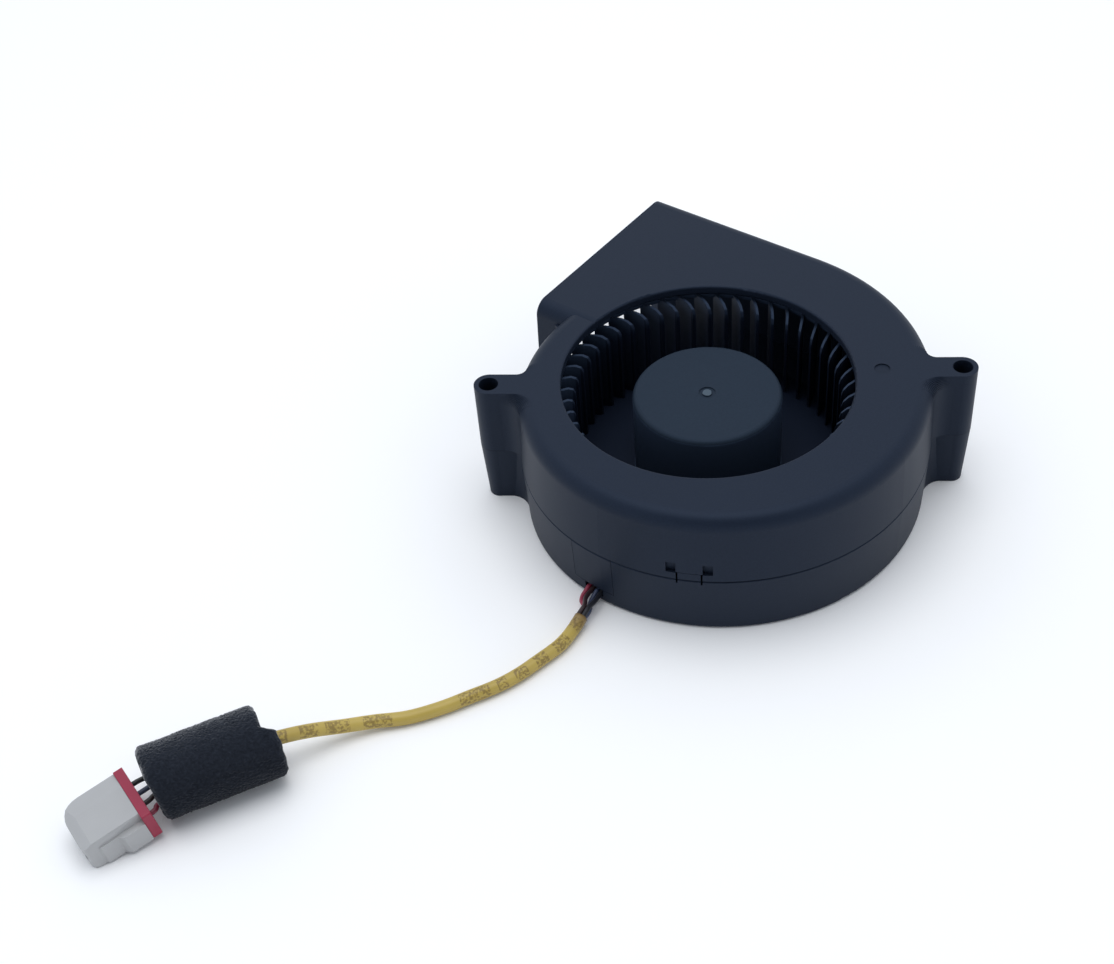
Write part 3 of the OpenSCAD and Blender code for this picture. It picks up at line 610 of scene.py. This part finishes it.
def impeller_plastic():
    """The wheel's moulding, with painted light on the hub's side and the blades' tops, painted shade low
    in the well, along the blade edges and on the back plate, less shine on those edges, and the pale gate
    stub on its hub.
    """
    made = plastic("impeller_black", WHEEL, WHEEL_SHINE)
    nodes = Nodes(made)
    x, y, z = nodes.axes()
    off_centre = nodes.distance(x, y, (0, 0))
    # Painted shade: outside the hub the wheel darkens below the blade tops, over the fade depth
    below_rim = nodes.math("DIVIDE", nodes.math("SUBTRACT", BLADE_TOP * MM, z), BLADE_FADE * MM)
    painted_shade_deep = nodes.both(nodes.clamp(below_rim), nodes.math("GREATER_THAN", off_centre, HUB_RADIUS * MM))
    on_blades = nodes.math("GREATER_THAN", off_centre, BLADE_INNER * MM)
    # Painted light on the hub's side and on the blades above the painted shade
    on_side = nodes.math("MAXIMUM", on_blades, nodes.math("LESS_THAN", z, HUB_EDGE * MM))
    # Painted shade on the back plate, below its top
    painted_shade_plate = nodes.both(painted_shade_deep, nodes.math("LESS_THAN", z, PLATE_TOP * MM))
    above_plate = nodes.math("GREATER_THAN", z, PLATE_TOP * MM)
    inside_edge = nodes.math("LESS_THAN", off_centre, BLADE_EDGE * MM)
    # Painted shade on the blade edges low in the well, which also lose some shine
    painted_shade_edges = nodes.both(painted_shade_deep, above_plate, on_blades, inside_edge)
    ragged = nodes.math("ADD", off_centre, nodes.both(nodes.noise(STUB_SPOTS), STUB_RAGGED * MM))
    stub = nodes.math("LESS_THAN", ragged, STUB_RADIUS * MM)
    shade = nodes.mottle(WHEEL, WHEEL_SPREAD, MOULD_SPOTS)
    # Painted light on the sides, then painted shade low in the well, on the back plate and on the blade
    # edges, then the gate stub's own colour
    layers = [
        (on_side, WHEEL_SIDE_PAINTED_LIGHT), (painted_shade_deep, WHEEL_PAINTED_SHADE), (painted_shade_plate, WHEEL_PLATE_PAINTED_SHADE),
        (painted_shade_edges, WHEEL_EDGES_PAINTED_SHADE), (stub, GATE_STUB),
    ]
    for share, colour in layers:
        shade = nodes.mix(share, shade, colour)
    nodes.colour(shade)
    shine = nodes.math("SUBTRACT", WHEEL_SHINE, nodes.both(painted_shade_edges, EDGE_DULL))
    nodes.plug(shine, nodes.shader.inputs["Specular IOR Level"])
    return made


def housing_plastic():
    """The two halves' moulding, darker in the seam between them, with painted shade in the ejector mark's
    recess.
    """
    made = plastic("housing_black", HOUSING, HOUSING_SHINE)
    nodes = Nodes(made)
    x, y, z = nodes.axes()
    off_seam = nodes.math("ABSOLUTE", nodes.math("SUBTRACT", z, SEAM_Z * MM))
    seam = nodes.math("LESS_THAN", off_seam, SEAM_HALF * MM)
    near_mark = nodes.math("LESS_THAN", nodes.distance(x, y, MARK_AT), MARK_RADIUS * MM)
    # Painted shade in the ejector mark's recess, below its floor height
    painted_shade_in_mark = nodes.both(near_mark, nodes.math("LESS_THAN", z, MARK_FLOOR * MM))
    dark = nodes.math("MAXIMUM", nodes.both(seam, SEAM_DARK), nodes.both(painted_shade_in_mark, MARK_PAINTED_SHADE))
    nodes.colour(nodes.mix(dark, nodes.mottle(HOUSING, HOUSING_SPREAD, MOULD_SPOTS), SEAM))
    return made


def print_groups(nodes, along):
    """A share that is 1 along each group of marks on the sleeve and 0 between them."""
    ramp = nodes.tree.nodes.new("ShaderNodeValToRGB")
    steps = ramp.color_ramp
    steps.interpolation = "CONSTANT"
    steps.elements[1].color = (0, 0, 0, 1)
    for start, end in SLEEVE_MARKS:
        steps.elements.new(start / SLEEVE_LENGTH).color = (1, 1, 1, 1)
        steps.elements.new(end / SLEEVE_LENGTH).color = (0, 0, 0, 1)
    nodes.plug(nodes.math("DIVIDE", along, SLEEVE_LENGTH), ramp.inputs["Fac"])
    return ramp.outputs["Color"]


def sleeve_plastic():
    """Yellow tubing with uneven colour, worn dark print and a brown stain at the housing's end."""
    made = material("sleeve_yellow", SLEEVE_YELLOW, 0.45)
    nodes = Nodes(made)
    along = nodes.value("along")
    over_level = nodes.math("SUBTRACT", nodes.noise(PRINT_SPOTS), PRINT_LEVEL)
    strokes = nodes.clamp(nodes.both(over_level, PRINT_SLOPE))
    on_side = nodes.math("GREATER_THAN", nodes.value("facing"), PRINT_FACING)
    printed = nodes.both(print_groups(nodes, along), strokes, on_side)
    yellow = nodes.mix(nodes.noise(TUBE_SPOTS), SLEEVE_PALE, SLEEVE_DEEP)
    near_end = nodes.math("SUBTRACT", 1.0, nodes.math("DIVIDE", along, STAIN_REACH))
    stain = nodes.math("SMOOTH_MAX", near_end, 0.0, STAIN_SOFT)
    stained = nodes.mix(nodes.both(stain, STAIN_DARK), yellow, SLEEVE_STAIN)
    nodes.colour(nodes.mix(nodes.both(printed, PRINT_DARK), stained, SLEEVE_PRINT))
    return made


def foam_fluff():
    """Open-cell foam: speckled, with painted shade low down and painted light higher up, and a pale fuzz
    of sheen where its higher part is seen edge on.
    """
    made = material("foam_black", FOAM, 0.95, Sheen_Roughness=0.4, Specular_IOR_Level=0.05)
    nodes = Nodes(made)
    # Painted light grows with height and painted shade lies low down; the sheen follows the same share
    lifted = nodes.math("SUBTRACT", height(nodes), FOAM_PAINTED_LIGHT_FROM * MM)
    painted_light_share = nodes.clamp(nodes.math("DIVIDE", lifted, 2 * FOAM_RADIUS * MM))
    specks = nodes.noise(FOAM_SPECKS, FOAM_DETAIL)
    nodes.colour(nodes.mix(painted_light_share, nodes.mix(specks, *FOAM_PAINTED_SHADE), nodes.mix(specks, *FOAM_PAINTED_LIGHT)))
    nodes.plug(painted_light_share, nodes.shader.inputs["Sheen Weight"])
    nodes.bump(nodes.noise(FOAM_PITS, FOAM_DETAIL), 0.35, 0.15 * MM)
    return made


MATERIALS = {
    "housing_black": housing_plastic(),
    "impeller_black": impeller_plastic(),
    "yoke_steel": metal("yoke_steel", (0.55, 0.55, 0.56), 0.35),
    "magnet_ferrite": surface("magnet_ferrite", (0.04, 0.04, 0.042), 0.6, spread=0.15),
    "shaft_steel": metal("shaft_steel", (0.65, 0.65, 0.66), 0.2, depth=0.005),
    "cage_nylon": surface("cage_nylon", (0.6, 0.55, 0.4), 0.5),
    "bush_brass": metal("bush_brass", (0.7, 0.5, 0.2), 0.3),
    "lamination_steel": ribbed(metal("lamination_steel", (0.35, 0.36, 0.38), 0.45), height, 0.5, 0.05),
    "insulator_nylon": surface("insulator_nylon", (0.7, 0.68, 0.6), 0.5),
    "coil_copper": ribbed(metal("coil_copper", (0.6, 0.22, 0.08), 0.35), off_axis, 0.3, 0.1),
    "board_green": surface("board_green", (0.01, 0.09, 0.03), 0.4, spread=0.25, spots=900),
    "chip_black": surface("chip_black", (0.015, 0.015, 0.016), 0.5, spread=0.1),
    "capacitor_tan": surface("capacitor_tan", (0.4, 0.27, 0.13), 0.5),
    "wire_black": surface("wire_black", (0.012, 0.013, 0.018), 0.4, spread=0.2),
    "wire_blue": surface("wire_blue", (0.04, 0.055, 0.11), 0.4, spread=0.2),
    "wire_brown": surface("wire_brown", (0.03, 0.015, 0.017), 0.4, spread=0.2),
    "wire_red": surface("wire_red", (0.25, 0.02, 0.05), 0.4, spread=0.2),
    "sleeve_yellow": sleeve_plastic(),
    "foam_black": foam_fluff(),
    "connector_white": surface("connector_white", (0.40, 0.40, 0.40), 0.45, spread=0.05, spots=160),
    "retainer_red": surface("retainer_red", (0.30, 0.012, 0.045), 0.45, spread=0.12, spots=200),
    "contact_tin": metal("contact_tin", (0.6, 0.6, 0.58), 0.3),
}
slot_of = {s["node"]: s["material_slot"] for s in frame["record"]["subparts"]}
for name, node in NODES.items():
    node.data.materials.clear()
    node.data.materials.append(MATERIALS[slot_of[name]])
for piece in [*wires, *inner_wires, sleeve, foam]:
    piece.data.materials.append(MATERIALS[piece["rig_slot"]])

# Floor and light, in metres

FLOOR_HALF = 4.0
FLOOR_PALE = (0.97, 0.965, 0.96)
BACK_LIGHT = (0.85, 0.91, 1.0, 1)
BACK_LIGHT_TO = 0.80
CAMERA_SIDE = (0.04, 0.045, 0.05, 1)
CAMERA_SIDE_FROM = 0.93
OVERHEAD_AT = (0.0, 0.05, 0.9)
OVERHEAD_TARGET = (-0.02, 0.02, 0)
OVERHEAD_SIZE = 0.8
OVERHEAD_POWER = 3.3


def make_floor():
    corners = [(x * FLOOR_HALF, y * FLOOR_HALF, 0) for x, y in ((-1, -1), (1, -1), (1, 1), (-1, 1))]
    floor = mesh_piece("floor", corners, [(0, 1, 2, 3)], smooth=False)
    floor.data.materials.append(material("floor", FLOOR_PALE, 0.9, Specular_IOR_Level=0.1))


def make_world():
    """Pale surroundings, darker on the side where the camera stands."""
    world = bpy.data.worlds.new("surroundings")
    bpy.context.scene.world = world
    world.use_nodes = True
    tree = world.node_tree
    place = tree.nodes.new("ShaderNodeTexCoord")
    facing = tree.nodes.new("ShaderNodeVectorMath")
    facing.operation = "DOT_PRODUCT"
    facing.inputs[1].default_value = camera_back
    ramp = tree.nodes.new("ShaderNodeValToRGB")
    pale, dark = ramp.color_ramp.elements
    pale.position, pale.color = BACK_LIGHT_TO, BACK_LIGHT
    dark.position, dark.color = CAMERA_SIDE_FROM, CAMERA_SIDE
    tree.links.new(place.outputs["Generated"], facing.inputs[0])
    tree.links.new(facing.outputs["Value"], ramp.inputs["Fac"])
    tree.links.new(ramp.outputs["Color"], tree.nodes["Background"].inputs["Color"])
    tree.nodes["Background"].inputs["Strength"].default_value = 1.0


def area_light(name, place, target, size, power):
    data = bpy.data.lights.new(name, "AREA")
    data.shape = "DISK"
    data.size = size
    data.energy = power
    light = bpy.data.objects.new(name, data)
    light.location = place
    light.rotation_euler = (Vector(target) - Vector(place)).to_track_quat("-Z", "Y").to_euler()
    bpy.context.scene.collection.objects.link(light)


make_floor()
make_world()
area_light("overhead", OVERHEAD_AT, OVERHEAD_TARGET, OVERHEAD_SIZE, OVERHEAD_POWER)
bpy.context.scene.view_settings.view_transform = "Standard"
